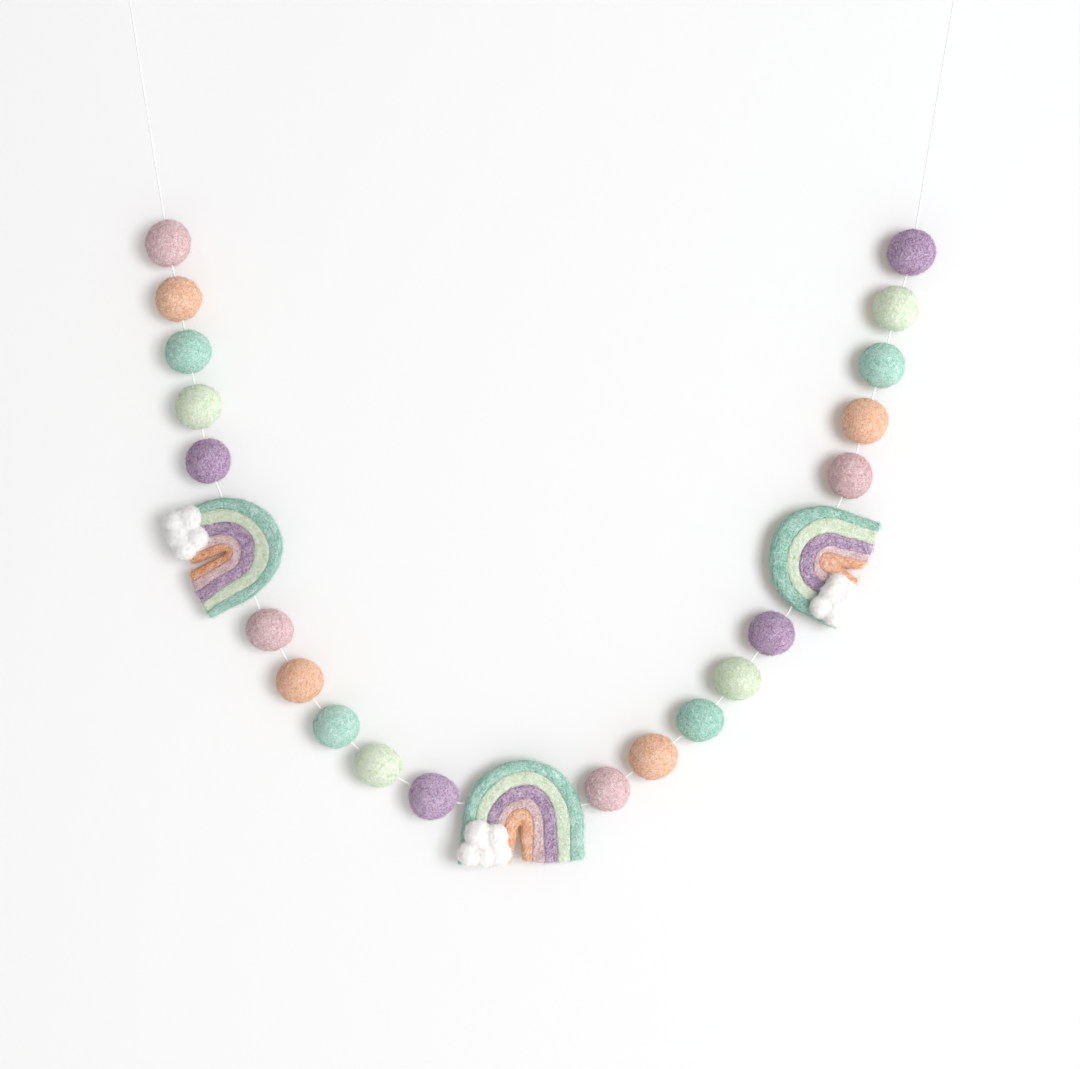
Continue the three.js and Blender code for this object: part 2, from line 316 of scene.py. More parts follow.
# The top of the right loop. The left one's is at the origin.
RIGHT_LOOP_X = 0.438

# Places along an edge, counted from the crown: positive on the right, negative on the left.
SPRING = 1
FOOT = 2


class GarlandSizes(bpy.types.PropertyGroup):
    """Sizes that a maker would change."""

    ball_depth: bpy.props.FloatProperty(
        name="Ball depth",
        description="Front to back of a ball",
        default=0.025,
        unit="LENGTH",
    )
    ball_lumps: bpy.props.FloatProperty(
        name="Ball lumps",
        description="Height of a ball's lumps as a share of its radius",
        default=0.008,
        subtype="FACTOR",
    )
    band_thickness: bpy.props.FloatProperty(
        name="Band thickness",
        description="Front to back of a rainbow's bands",
        default=0.0105,
        unit="LENGTH",
    )
    band_overlap: bpy.props.FloatProperty(
        name="Band overlap",
        description="How far the wool of two neighbouring bands is felted into one another",
        default=0.0004,
        unit="LENGTH",
    )
    cloud_depth: bpy.props.FloatProperty(
        name="Cloud depth",
        description="How far a cloud stands out from its rainbow",
        default=0.008,
        unit="LENGTH",
    )
    string_diameter: bpy.props.FloatProperty(
        name="String diameter",
        description="Thickness of the string",
        default=0.001,
        unit="LENGTH",
    )
    nap: bpy.props.FloatProperty(
        name="Nap",
        description="How far the felt lies below a piece's outline, which its loose fibres reach",
        default=0.0007,
        unit="LENGTH",
    )
    fibre_length: bpy.props.FloatProperty(
        name="Fibre length",
        description="Usual length of a loose fibre",
        default=0.0022,
        unit="LENGTH",
    )
    fibre_lift: bpy.props.FloatProperty(
        name="Fibre lift",
        description="How far a loose fibre usually stands off the felt",
        default=0.0006,
        unit="LENGTH",
    )
    fibre_width: bpy.props.FloatProperty(
        name="Fibre width",
        description="Thickness of a loose fibre",
        default=0.00014,
        unit="LENGTH",
    )
    fibres_per_cm2: bpy.props.FloatProperty(
        name="Fibres to a square centimetre",
        description="How many loose fibres stand on a square centimetre of felt",
        default=75,
    )
    strand_length: bpy.props.FloatProperty(
        name="Strand length",
        description="Usual length of a fibre that lies on the felt",
        default=0.0038,
        unit="LENGTH",
    )
    strand_width: bpy.props.FloatProperty(
        name="Strand width",
        description="Thickness of a fibre that lies on the felt",
        default=0.0002,
        unit="LENGTH",
    )
    strands_per_cm2: bpy.props.FloatProperty(
        name="Strands to a square centimetre",
        description="How many fibres lie on a square centimetre of felt",
        default=42,
    )


def wool_colour(name, default):
    """A property for one colour of wool."""
    return bpy.props.FloatVectorProperty(
        name=name,
        description=f"Colour of the {name.lower()} wool",
        default=default,
        min=0,
        max=1,
        subtype="COLOR_GAMMA",
    )


class GarlandColours(bpy.types.PropertyGroup):
    """Colours of the wool and the string."""

    pink: wool_colour("Pink", (0.87, 0.76, 0.77))
    peach: wool_colour("Peach", (0.92, 0.76, 0.65))
    teal: wool_colour("Teal", (0.67, 0.83, 0.78))
    green: wool_colour("Green", (0.87, 0.91, 0.83))
    purple: wool_colour("Purple", (0.71, 0.6, 0.725))
    orange: wool_colour("Orange", (0.92, 0.73, 0.59))
    white: wool_colour("White", (0.97, 0.965, 0.96))


def linear(colour):
    """A colour as seen on screen, turned to the values that a shader reads."""
    return Color(colour).from_srgb_to_scene_linear()


def deeper(colour, power):
    """A linear colour raised to a power: above 1 it is darker and fuller, below 1 it is paler."""
    return (*(value**power for value in colour), 1)


def add_node(tree, kind, inputs=None, **settings):
    """Adds a shader node. An input is given a value, or linked where it is given a socket."""
    made = tree.nodes.new(kind)
    for key, value in settings.items():
        setattr(made, key, value)
    for key, value in (inputs or {}).items():
        if isinstance(value, bpy.types.NodeSocket):
            tree.links.new(value, made.inputs[key])
        else:
            made.inputs[key].default_value = value
    return made


def felt_material(name, colour, follows_band):
    """Felted wool: flecks and patches of tone, and a soft sheen. A band's flecks run out along it."""
    flecks_per_metre = 1400
    patches_per_metre = 210
    fleck_height = 0.0009
    darkest_at, lightest_at = 0.41, 0.59
    sheen_tone = 0.5
    material = bpy.data.materials.new(name)
    material.use_nodes = True
    tree = material.node_tree
    if follows_band:
        source = add_node(tree, "ShaderNodeAttribute", attribute_name="unbent").outputs["Vector"]
        stretch = (1.4, 1, 1)
        dark, light = 2.3, 0.58
        fleck_share = 0.75
        roughening = 0.7
        sheen, sheen_spread = 0.25, 0.5
    else:
        source = add_node(tree, "ShaderNodeTexCoord").outputs["Object"]
        stretch = (1, 1, 1)
        dark, light = 1.8, 0.6
        fleck_share = 0.85
        roughening = 0.45
        sheen, sheen_spread = 0.6, 0.35
    place = add_node(
        tree, "ShaderNodeMapping", {"Vector": source, "Scale": stretch}, vector_type="TEXTURE"
    ).outputs["Vector"]
    flecks = add_node(
        tree,
        "ShaderNodeTexNoise",
        {"Vector": place, "Scale": flecks_per_metre, "Detail": 2, "Roughness": 0.7, "Distortion": 1.0},
    ).outputs["Fac"]
    patches = add_node(
        tree,
        "ShaderNodeTexNoise",
        {"Vector": place, "Scale": patches_per_metre, "Detail": 3, "Roughness": 0.6},
    ).outputs["Fac"]
    tone = add_node(
        tree, "ShaderNodeMix", {"Factor": fleck_share, "A": patches, "B": flecks}, data_type="FLOAT"
    ).outputs["Result"]
    ramp = add_node(tree, "ShaderNodeValToRGB", {"Fac": tone})
    steps = ramp.color_ramp.elements
    steps[0].position = darkest_at
    steps[0].color = deeper(colour, dark)
    steps[1].position = lightest_at
    steps[1].color = deeper(colour, light)
    bump = add_node(
        tree, "ShaderNodeBump", {"Height": flecks, "Strength": roughening, "Distance": fleck_height}
    )
    shader = tree.nodes["Principled BSDF"]
    shader.inputs["Roughness"].default_value = 0.95
    shader.inputs["Specular IOR Level"].default_value = 0.1
    shader.inputs["Sheen Weight"].default_value = sheen
    shader.inputs["Sheen Roughness"].default_value = sheen_spread
    shader.inputs["Sheen Tint"].default_value = deeper(colour, sheen_tone)
    tree.links.new(ramp.outputs["Color"], shader.inputs["Base Color"])
    tree.links.new(bump.outputs["Normal"], shader.inputs["Normal"])
    return material


def fibre_material(name, colour):
    """Single fibres, in one plain colour."""
    material = bpy.data.materials.new(name)
    material.use_nodes = True
    shader = material.node_tree.nodes["Principled BSDF"]
    shader.inputs["Base Color"].default_value = colour
    shader.inputs["Roughness"].default_value = 0.9
    shader.inputs["Specular IOR Level"].default_value = 0.1
    return material


def cotton_material(name, colour):
    """Twisted cotton with small dark and pale stretches."""
    grains_per_metre = 2200
    grain_height = 0.0001
    dark, light = 4, 1
    darkest_at, lightest_at = 0.3, 0.65
    material = bpy.data.materials.new(name)
    material.use_nodes = True
    tree = material.node_tree
    place = add_node(tree, "ShaderNodeTexCoord").outputs["Object"]
    grain = add_node(
        tree,
        "ShaderNodeTexNoise",
        {"Vector": place, "Scale": grains_per_metre, "Detail": 3, "Roughness": 0.6},
    ).outputs["Fac"]
    ramp = add_node(tree, "ShaderNodeValToRGB", {"Fac": grain})
    steps = ramp.color_ramp.elements
    steps[0].position = darkest_at
    steps[0].color = deeper(colour, dark)
    steps[1].position = lightest_at
    steps[1].color = deeper(colour, light)
    bump = add_node(tree, "ShaderNodeBump", {"Height": grain, "Strength": 0.4, "Distance": grain_height})
    shader = tree.nodes["Principled BSDF"]
    shader.inputs["Roughness"].default_value = 0.85
    shader.inputs["Specular IOR Level"].default_value = 0.2
    shader.inputs["Sheen Weight"].default_value = 0.2
    tree.links.new(ramp.outputs["Color"], shader.inputs["Base Color"])
    tree.links.new(bump.outputs["Normal"], shader.inputs["Normal"])
    return material


def material_for(name, make, *values):
    """The material of that name, made the first time that it is asked for."""
    return bpy.data.materials.get(name) or make(name, *values)


def add_piece(name, bm, material):
    """Makes a smooth-shaded object of a bmesh, in the part's frame."""
    mesh = bpy.data.meshes.new(name)
    bm.to_mesh(mesh)
    bm.free()
    mesh.shade_smooth()
    mesh.materials.append(material)
    piece = bpy.data.objects.new(name, mesh)
    bpy.context.scene.collection.objects.link(piece)
    return piece


def skin(bm, steps, sides, place):
    """Adds a closed tube: a grid bent into rings by place(vertex, step, turn), welded and capped."""
    weld_distance = 1e-7
    verts = bmesh.ops.create_grid(bm, x_segments=steps, y_segments=sides, size=0.5)["verts"]
    for vertex in verts:
        step = round((vertex.co.x + 0.5) * steps)
        side = round((vertex.co.y + 0.5) * sides) % sides
        vertex.co = place(vertex, step, math.tau * side / sides)
    bmesh.ops.remove_doubles(bm, verts=verts, dist=weld_distance)
    ends = [edge for edge in bm.edges if edge.is_boundary]
    bmesh.ops.holes_fill(bm, edges=ends)
    bmesh.ops.recalc_face_normals(bm, faces=bm.faces)


def relief(bm, heights, seed):
    """Moves the surface in and out by soft noise: broad bumps first and fine ones on top."""
    shift = Vector((seed, seed, seed))
    for height, span in zip(heights, BUMP_SPANS):
        bm.normal_update()
        for vertex in bm.verts:
            vertex.co += vertex.normal * height * noise.noise(vertex.co / span + shift)


def surface_points(mesh, count, rng):
    """Random points on a mesh, with the normal and the grain, if it has one, at each."""
    mesh.calc_loop_triangles()
    corners = np.empty(3 * len(mesh.loop_triangles), np.int32)
    mesh.loop_triangles.foreach_get("vertices", corners)
    corners = corners.reshape(-1, 3)
    places = np.empty(3 * len(mesh.vertices), np.float32)
    mesh.vertices.foreach_get("co", places)
    places = places.reshape(-1, 3)
    normals = np.empty(3 * len(mesh.vertices), np.float32)
    mesh.vertices.foreach_get("normal", normals)
    normals = normals.reshape(-1, 3)
    sides = places[corners[:, 1:]] - places[corners[:, :1]]
    areas = np.linalg.norm(np.cross(sides[:, 0], sides[:, 1]), axis=1)
    chosen = corners[rng.choice(len(corners), count, p=areas / areas.sum())]
    shares = rng.dirichlet((1, 1, 1), count)[:, :, None]
    grain = None
    if "grain" in mesh.attributes:
        grain = np.empty(3 * len(mesh.vertices), np.float32)
        mesh.attributes["grain"].data.foreach_get("vector", grain)
        grain = (grain.reshape(-1, 3)[chosen] * shares).sum(1)
    return (places[chosen] * shares).sum(1), unit((normals[chosen] * shares).sum(1)), grain


def unit(rows):
    """Rows of vectors, each made one long."""
    shortest = 1e-12
    return rows / np.maximum(np.linalg.norm(rows, axis=1, keepdims=True), shortest)


def surface_area(mesh):
    """A mesh's area in square metres."""
    areas = np.empty(len(mesh.polygons), np.float32)
    mesh.polygons.foreach_get("area", areas)
    return float(areas.sum())


def headings(normals, grain, rng):
    """A way to lie for each fibre, along the felt and nearer its grain, and the way square to that."""
    ways = rng.normal(size=normals.shape)
    if grain is not None:
        ways += rng.choice((-1, 1), (len(ways), 1)) * grain
    ways = unit(ways - (ways * normals).sum(1, keepdims=True) * normals)
    return ways, np.cross(normals, ways)


def add_hairs(name, lines, width, materials):
    """Adds thin closed spindles as one object, its materials by turns. A line holds one point of each."""
    count = len(width)
    along = unit(lines[-1] - lines[0])
    across = unit(np.cross(along, along[:, [1, 2, 0]]))
    up = np.cross(along, across)
    # A spindle has a point at each end and a ring of three at each place between them.
    rows = [lines[0]]
    for middle in lines[1:-1]:
        for angle in (0, math.tau / 3, 2 * math.tau / 3):
            rows.append(middle + width / 2 * (math.cos(angle) * across + math.sin(angle) * up))
    rows.append(lines[-1])
    last = len(rows) - 1
    spindle = []
    for side, beside in ((1, 2), (2, 3), (3, 1)):
        spindle.append((0, beside, side))
        for ring in range(0, last - 4, 3):
            spindle.append((ring + side, ring + beside, ring + beside + 3, ring + side + 3))
        spindle.append((last, last - 4 + side, last - 4 + beside))
    starts = range(0, len(rows) * count, len(rows))
    faces = [[first + corner for corner in face] for first in starts for face in spindle]
    mesh = bpy.data.meshes.new(name)
    mesh.from_pydata(np.stack(rows, 1).reshape(-1, 3).tolist(), [], faces)
    for material in materials:
        mesh.materials.append(material)
    turns = np.repeat(np.arange(count) % len(materials), len(spindle))
    mesh.polygons.foreach_set("material_index", turns)
    hairs = bpy.data.objects.new(name, mesh)
    bpy.context.scene.collection.objects.link(hairs)
    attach(hairs, BODY)


def add_fuzz(piece, materials, rng, looseness):
    """Covers a piece with loose fibres that rise from the felt and bend over."""
    lift_shape, lift_scale = 2.0, 0.5
    curl_spread = 0.3
    tip_lift = (0.2, 1.4)
    width_spread = (0.7, 1.3)
    halfway = 0.5
    counter_curl = 0.2
    sizes = bpy.context.scene.garland_sizes
    count = round(sizes.fibres_per_cm2 * CM2_PER_M2 * surface_area(piece.data))
    each = (count, 1)
    roots, normals, grain = surface_points(piece.data, count, rng)
    heading, aside = headings(normals, grain, rng)
    length = sizes.fibre_length * rng.uniform(*LENGTH_SPREAD, each)
    lift = looseness * sizes.fibre_lift * rng.gamma(lift_shape, lift_scale, each)
    curl = rng.normal(0, curl_spread, each)
    lines = [
        roots - normals * sizes.fibre_width,
        roots + length * (halfway * heading - counter_curl * curl * aside) + lift * normals,
        roots + length * (heading + curl * aside) + lift * rng.uniform(*tip_lift, each) * normals,
    ]
    width = sizes.fibre_width * rng.uniform(*width_spread, each)
    add_hairs(f"{piece.name}_fuzz", lines, width, materials)


def add_strands(piece, materials, rng):
    """Lays fibres on a piece, bowed, with both ends in the felt. Some run on over the next piece."""
    bow_spread = 0.25
    width_spread = (0.6, 1.3)
    # Places along a strand in shares of its length, each with its lift off the felt in strand widths.
    places = ((-0.5, -1), (-0.17, 0.6), (0.17, 0.6), (0.5, -1))
    sizes = bpy.context.scene.garland_sizes
    count = round(sizes.strands_per_cm2 * CM2_PER_M2 * surface_area(piece.data))
    each = (count, 1)
    roots, normals, grain = surface_points(piece.data, count, rng)
    heading, aside = headings(normals, grain, rng)
    length = sizes.strand_length * rng.uniform(*LENGTH_SPREAD, each)
    bow = rng.normal(0, bow_spread, each)
    mesh = piece.data
    felt = BVHTree.FromPolygons(
        [vertex.co for vertex in mesh.vertices], [tuple(face.vertices) for face in mesh.polygons]
    )
    past_the_edge = 2 * sizes.strand_width
    lines = []
    for along, lift in places:
        reach = roots + length * (along * heading + bow * math.cos(math.pi * along) * aside)
        line = []
        for point, outward in zip(reach.tolist(), normals.tolist()):
            place, normal, _, gap = felt.find_nearest(point)
            if gap > past_the_edge:
                place = Vector(point)
                normal = Vector(outward)
            line.append(place + normal * lift * sizes.strand_width)
        lines.append(np.array(line))
    width = sizes.strand_width * rng.uniform(*width_spread, each)
    add_hairs(f"{piece.name}_strands", lines, width, materials)


def felt_piece(node, bm, colour_name, follows_band, seed):
    """Makes a piece of felt with its fibres, in place of the part's own solid of that name."""
    # A firm piece's loose fibres are much paler than its felt, a painted highlight for the light that
    # loose fuzz catches round a ball's outline. A band's loose fibres are nearly its own colour.
    loose_tone_and_painted_rim = 0.95 if follows_band else 0.6
    pale_tone = 0.65
    dark_tone = 1.5
    # For the two clouds and part of the left orange band, this power holds painted light: the left cloud
    # is paler for its lesser light, and the right cloud and the orange's slit are darker as painted shade.
    shade = TONES_AND_PAINTED_LIGHT.get(node, BAND_SHADE if follows_band else FIRM_SHADE)
    colour = deeper(linear(getattr(bpy.context.scene.garland_colours, colour_name)), shade)[:3]
    slot = f"felt_{colour_name}"
    way = "band" if follows_band else "ball"
    batch = f"{slot}_{shade}"
    felt = material_for(f"{batch}_{way}", felt_material, colour, follows_band)
    piece = add_piece(f"{node}_felt", bm, felt)
    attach(piece, BODY)
    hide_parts(node)
    rng = np.random.default_rng(seed)
    loose = material_for(f"{batch}_{way}_fuzz", fibre_material, deeper(colour, loose_tone_and_painted_rim))
    pale = material_for(f"{batch}_pale_fibre", fibre_material, deeper(colour, pale_tone))
    dark = material_for(f"{batch}_dark_fibre", fibre_material, deeper(colour, dark_tone))
    add_fuzz(piece, [loose], rng, 1 if follows_band else FIRM_SHARE)
    add_strands(piece, [pale, pale, dark], rng)


def catmull_rom(points, step):
    """Points about a step apart on a smooth line through the given ones."""
    ends = [2 * points[0] - points[1], *points, 2 * points[-1] - points[-2]]
    line = []
    for a, b, c, d in zip(ends, ends[1:], ends[2:], ends[3:]):
        pieces = max(1, round((c - b).length / step))
        linear_part = c - a
        square_part = 2 * a - 5 * b + 4 * c - d
        cubic_part = 3 * b - a - 3 * c + d
        for number in range(pieces):
            t = number / pieces
            line.append(0.5 * (2 * b + linear_part * t + square_part * t**2 + cubic_part * t**3))
    return [*line, points[-1]]


def twisted_string(bm, line, diameter):
    """Adds a two-ply string along a line of points: its section has a waist that turns along it."""
    ply_waist = 0.16
    turns_per_metre = 240
    frames = []
    side = None
    run = 0
    for number, point in enumerate(line):
        before = line[max(0, number - 1)]
        after = line[min(len(line) - 1, number + 1)]
        tangent = (after - before).normalized()
        side = tangent.orthogonal() if side is None else side
        side = (side - side.dot(tangent) * tangent).normalized()
        run += (point - before).length
        frames.append((point, side, tangent.cross(side), run))

    def place(_vertex, step, turn):
        point, across, up, along = frames[step]
        waist = abs(math.sin(turn - math.tau * turns_per_metre * along))
        radius = diameter / 2 * (1 - ply_waist * waist)
        return point + radius * (math.cos(turn) * across + math.sin(turn) * up)

    skin(bm, len(frames) - 1, STRING_SIDES, place)


class GARLAND_OT_camera(bpy.types.Operator):
    """Adds the camera, head-on to the wall as in the photograph"""

    bl_idname = "garland.camera"
    bl_label = "Camera"

    def execute(self, context):
        data = bpy.data.cameras.new("camera")
        data.sensor_width = SENSOR_WIDTH_MM
        data.lens = SENSOR_WIDTH_MM * CAMERA_DISTANCE / (PHOTO_WIDTH_PX * METRES_PER_PX)
        camera = bpy.data.objects.new("camera", data)
        camera.location = VIEW_MIDDLE - Vector((0, CAMERA_DISTANCE, 0))
        camera.rotation_euler = (math.radians(90), 0, 0)
        context.scene.collection.objects.link(camera)
        context.scene.camera = camera
        return {"FINISHED"}


class GARLAND_OT_string(bpy.types.Operator):
    """Adds the string from knot to knot, and the knotted loop at each of its ends"""

    bl_idname = "garland.string"
    bl_label = "String and loops"

    def execute(self, context):
        diameter = context.scene.garland_sizes.string_diameter
        white = linear(context.scene.garland_colours.white)
        cotton = material_for("string_cotton", cotton_material, white)
        line = catmull_rom([Vector((x, 0, z)) for x, z in STRING_ROUTE], STRING_STEP)
        length = sum((b - a).length for a, b in zip(line, line[1:]))
        bm = bmesh.new()
        twisted_string(bm, line, diameter)
        string = add_piece("string_line", bm, cotton)
        left_top = Vector((0, 0, diameter / 2))
        right_top = Vector((RIGHT_LOOP_X, 0, diameter / 2))
        left = self.add_loop("loop_left", line[0], left_top, diameter, cotton)
        right = self.add_loop("loop_right", line[-1], right_top, diameter, cotton)
        for piece in (string, left, right):
            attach(piece, BODY)
            # So thin a string throws no shadow that shows on the wall in the photograph.
            piece.visible_shadow = False
        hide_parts("string")
        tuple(line[0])
        return {"FINISHED"}

    @staticmethod
    def add_loop(name, knot, top, diameter, material):
        """A loop of the string above a knot, leaning as the string does."""
        loop_width = 0.009
        knot_size = 0.0011
        up = top - knot
        rise = up.normalized()
        side = Vector((up.z, 0, -up.x)).normalized()
        into_wall = Vector((0, 1, 0))
        # The loop's bends, in loop widths across and in shares of its height.
        shape = (
            (0, 0),
            (-0.3, 0.25),
            (-0.5, 0.6),
            (-0.35, 0.9),
            (0, 1),
            (0.35, 0.9),
            (0.5, 0.6),
            (0.3, 0.25),
            (0, 0),
        )
        bends = [knot + side * across * loop_width + up * along for across, along in shape]
        turns = []
        for number in range(KNOT_STEPS + 1):
            t = math.tau * number / KNOT_STEPS
            across = (math.sin(t) + 2 * math.sin(2 * t)) / 3
            along = (math.cos(t) - 2 * math.cos(2 * t)) / 3
            through = -math.sin(3 * t) / 2
            turns.append(knot + knot_size * (across * side + along * rise + through * into_wall))
        bm = bmesh.new()
        twisted_string(bm, catmull_rom(bends, STRING_STEP), diameter)
        twisted_string(bm, turns, diameter)
        return add_piece(name, bm, material)


class GARLAND_OT_balls(bpy.types.Operator):
    """Adds the felt balls, each a little lumpy and dimpled where the string goes in"""

    bl_idname = "garland.balls"
    bl_label = "Felt balls"

    def execute(self, context):
        for number, ball in enumerate(BALLS, start=1):
            name = f"ball_{number:02d}_{ball.colour}"
            bm = bmesh.new()
            bmesh.ops.create_icosphere(bm, subdivisions=BALL_SUBDIVISIONS, radius=1)
            self.shape(bm, ball, number, context.scene.garland_sizes)
            relief(bm, BALL_BUMPS, number)
            felt_piece(name, bm, ball.colour, False, number)
        return {"FINISHED"}

    @staticmethod
    def shape(bm, ball, number, sizes):
        """Turns a unit sphere into the ball: lumps, dimples, an egg's narrowing, its size and place."""
        broad_lumps = 3
        fine_lumps = 5
        shift_per_ball = 2.4
        shift = shift_per_ball * number
        dimple_depth = 0.07
        dimple_spread = 0.13
        middle = Vector((ball.x, 0, ball.z))
        tilt = Matrix.Rotation(-math.radians(ball.tilt), 3, "Y")
        place_on_route = STRING_ROUTE.index((ball.x, ball.z))
        ways = []
        for x, z in (STRING_ROUTE[place_on_route - 1], STRING_ROUTE[place_on_route + 1]):
            ways.append((tilt.inverted() @ (Vector((x, 0, z)) - middle)).normalized())
        nap = FIRM_SHARE * Vector((sizes.nap, sizes.nap, sizes.nap))
        size = Vector((ball.wide, sizes.ball_depth, ball.tall)) / 2 - nap
        for vertex in bm.verts:
            at = vertex.co.copy()
            broad = math.sin(broad_lumps * at.x + shift) * math.cos(broad_lumps * at.z - shift)
            fine = math.sin(fine_lumps * at.z + shift) * math.cos(fine_lumps * at.y - shift)
            radius = 1 + sizes.ball_lumps * (broad + fine)
            for way in ways:
                radius -= dimple_depth * math.exp(-(((at - way).length / dimple_spread) ** 2))
            narrowing = 1 - ball.egg * at.x
            scaled = Vector((at.x, at.y * narrowing, at.z * narrowing)) * radius
            vertex.co = middle + tilt @ (scaled * size)


def edge_point(edge, along):
    """The point of an edge at a place along it, in the rainbow's own frame."""
    foot = Vector(edge.left_foot if along < 0 else edge.right_foot)
    spring = Vector(edge.left_spring if along < 0 else edge.right_spring)
    crown = Vector(edge.crown)
    way = abs(along)
    if way > SPRING:
        point = spring.lerp(foot, way - SPRING)
    else:
        angle = way * math.pi / 2
        point = Vector(
            (
                crown.x + (spring.x - crown.x) * math.sin(angle),
                spring.y + (crown.y - spring.y) * math.cos(angle),
            )
        )
    return point


def uneven(point, seed):
    """A point of an edge moved a little, as wool lies. Two bands that share an edge move alike."""
    # How far the wool strays from the line, and over what length: broadly, and finely on top of that.
    strays = ((0.0003, 0.009), (0.0002, 0.003))
    elsewhere = Vector((31, 17, 53))
    place = Vector((point.x, seed, point.y))
    moved = Vector((0, 0))
    for move, span in strays:
        at = place / span
        moved += move * Vector((noise.noise(at), noise.noise(at + elsewhere)))
    return point + moved


class GARLAND_OT_rainbows(bpy.types.Operator):
    """Adds the bands of each rainbow, bent side by side into an arch"""

    bl_idname = "garland.rainbows"
    bl_label = "Rainbow bands"

    def execute(self, context):
        for number, rainbow in enumerate(RAINBOWS, start=1):
            for index, colour in enumerate(BANDS):
                seed = BAND_SEEDS * number + index
                bm = bmesh.new()
                self.bend(bm, rainbow, index, context.scene.garland_sizes)
                relief(bm, BAND_BUMPS, number)
                felt_piece(f"{rainbow.name}_{colour}", bm, colour, True, seed)
        return {"FINISHED"}

    @staticmethod
    def stations(leg_length):
        """Places along a band from foot to foot, each with its section's share of the full size."""
        foot_rounding = 0.0012
        rounding = foot_rounding / leg_length
        # A foot's rim: from the middle of its flat end, round the edge and on to the leg.
        rim = (
            (FOOT, 0.12),
            (FOOT, 0.45),
            (FOOT - 0.02 * rounding, 0.72),
            (FOOT - 0.15 * rounding, 0.86),
            (FOOT - 0.5 * rounding, 0.96),
            (FOOT - rounding, 1),
        )
        straight = FOOT - rounding - SPRING
        leg = [(SPRING + straight * step / LEG_STEPS, 1) for step in range(LEG_STEPS - 1, 0, -1)]
        arch = [(SPRING * step / ARCH_STEPS, 1) for step in range(ARCH_STEPS, 0, -1)]
        half = [*rim, *leg, *arch]
        return [(-along, share) for along, share in half] + [(0, 1)] + half[::-1]

    def bend(self, bm, rainbow, index, sizes):
        """Skins one band along the arch between its outer and inner edges."""
        round_side = 2.3
        pressed_side = 7
        lane_width = 0.02
        free_outside = index == 0
        free_inside = index == len(BANDS) - 1
        squareness_outside = round_side if free_outside else pressed_side
        squareness_inside = round_side if free_inside else pressed_side
        room_outside = sizes.nap if free_outside else -sizes.band_overlap / 2
        room_inside = 0 if free_inside else -sizes.band_overlap / 2
        thickness = sizes.band_thickness / 2 - sizes.nap
        outer, inner = rainbow.edges[index : index + 2]
        turn = Matrix.Rotation(-math.radians(rainbow.turn), 3, "Y")
        middle = Vector((rainbow.x, 0, rainbow.z))
        sections = []
        run = 0
        for along, share in self.stations(outer.right_spring[1] - outer.right_foot[1]):
            outside = uneven(edge_point(outer, along), rainbow.x)
            inside = uneven(edge_point(inner, along), rainbow.x)
            across = (outside - inside).normalized()
            outside -= across * room_outside
            inside += across * room_inside
            width = (outside - inside).length / 2
            centre = (outside + inside) / 2
            run += (centre - sections[-1][0]).length if sections else 0
            sections.append((centre, across, share * width, share * thickness, run))
        unbent = bm.verts.layers.float_vector.new("unbent")
        grain = bm.verts.layers.float_vector.new("grain")
        lane = lane_width * index

        def place(vertex, step, angle):
            centre, across, width, depth, along = sections[step]
            power = squareness_outside if math.cos(angle) > 0 else squareness_inside
            reach = (abs(math.cos(angle)) ** power + abs(math.sin(angle)) ** power) ** (-1 / power)
            out = width * reach * math.cos(angle)
            back = depth * reach * math.sin(angle)
            vertex[unbent] = Vector((along + rainbow.x, out + lane, back))
            vertex[grain] = turn @ Vector((across.y, 0, -across.x))
            point = centre + across * out
            return middle + turn @ Vector((point.x, back, point.y))

        skin(bm, len(sections) - 1, BAND_SIDES, place)


